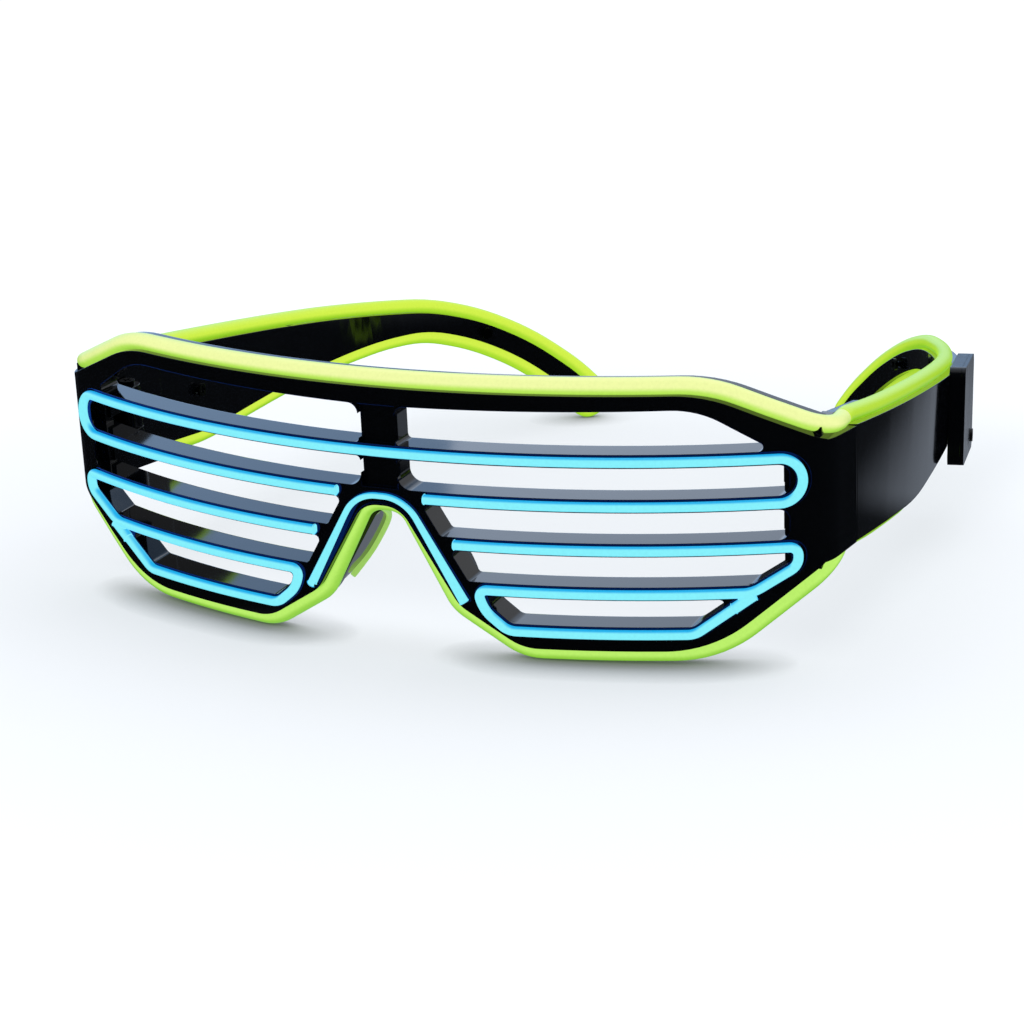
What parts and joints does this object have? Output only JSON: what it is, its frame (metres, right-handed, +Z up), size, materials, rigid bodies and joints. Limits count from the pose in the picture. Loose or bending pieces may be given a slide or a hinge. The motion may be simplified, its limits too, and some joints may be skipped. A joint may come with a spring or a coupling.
{
  "type": "slatted novelty glasses",
  "caption": "Wrapped party glasses with a slatted front, folding temples, lit wire in grooves round every edge and a small driver case on one temple.",
  "frame": {"origin": "centre of the bounding box's underside, on the table that the lower rims and temple tips stand on", "axes": "+X to the wearer's left, -Y the way the wearer looks, +Z up"},
  "size_m": [0.1535, 0.1804, 0.0507],
  "materials": {
    "black_plastic": "gloss",
    "green_wire": "satin",
    "blue_wire": "satin",
    "steel": "satin",
    "board": "matte",
    "coil": "satin",
    "capacitor": "matte",
    "switch_plastic": "matte",
    "button_rubber": "matte"
  },
  "bodies": {
    "front": {"front_frame": "black_plastic", "slat_wire_upper": "blue_wire", "slat_wire_left": "blue_wire", "slat_wire_right": "blue_wire", "nose_wire": "blue_wire", "brow_wire": "green_wire", "rim_wire": "green_wire", "hinge_screw_left": "steel", "hinge_screw_right": "steel"},
    "left_temple": {"temple_left": "black_plastic", "temple_cover_left": "black_plastic", "temple_wire_left": "green_wire", "cover_screws_left": "steel", "driver_case": "black_plastic", "battery_lid": "black_plastic", "lid_screw": "steel", "cell_front": "steel", "cell_rear": "steel", "contact_strip": "steel", "driver_board": "board", "inverter_coil": "coil", "filter_capacitor": "capacitor", "mode_switch": "switch_plastic"},
    "right_temple": {"temple_right": "black_plastic", "temple_cover_right": "black_plastic", "temple_wire_right": "green_wire", "cover_screws_right": "steel"},
    "button": {"mode_button": "button_rubber"}
  },
  "joints": [
    {"name": "fold_left", "type": "hinge", "parent": "front", "child": "left_temple", "pos_m": [0.0679, -0.0588, 0.03021], "axis": [0, -0.0717, 0.9974], "range_deg": [0, 80]},
    {"name": "fold_right", "type": "hinge", "parent": "front", "child": "right_temple", "pos_m": [-0.0679, -0.0588, 0.03021], "axis": [0, 0.0717, -0.9974], "range_deg": [0, 60]},
    {"name": "press_button", "type": "slide", "parent": "left_temple", "child": "button", "axis": [-0.9839, -0.1785, -0.0128], "range_m": [0, 0.0003], "stiffness_N_per_m": 800, "springref_m": -0.0003}
  ]
}
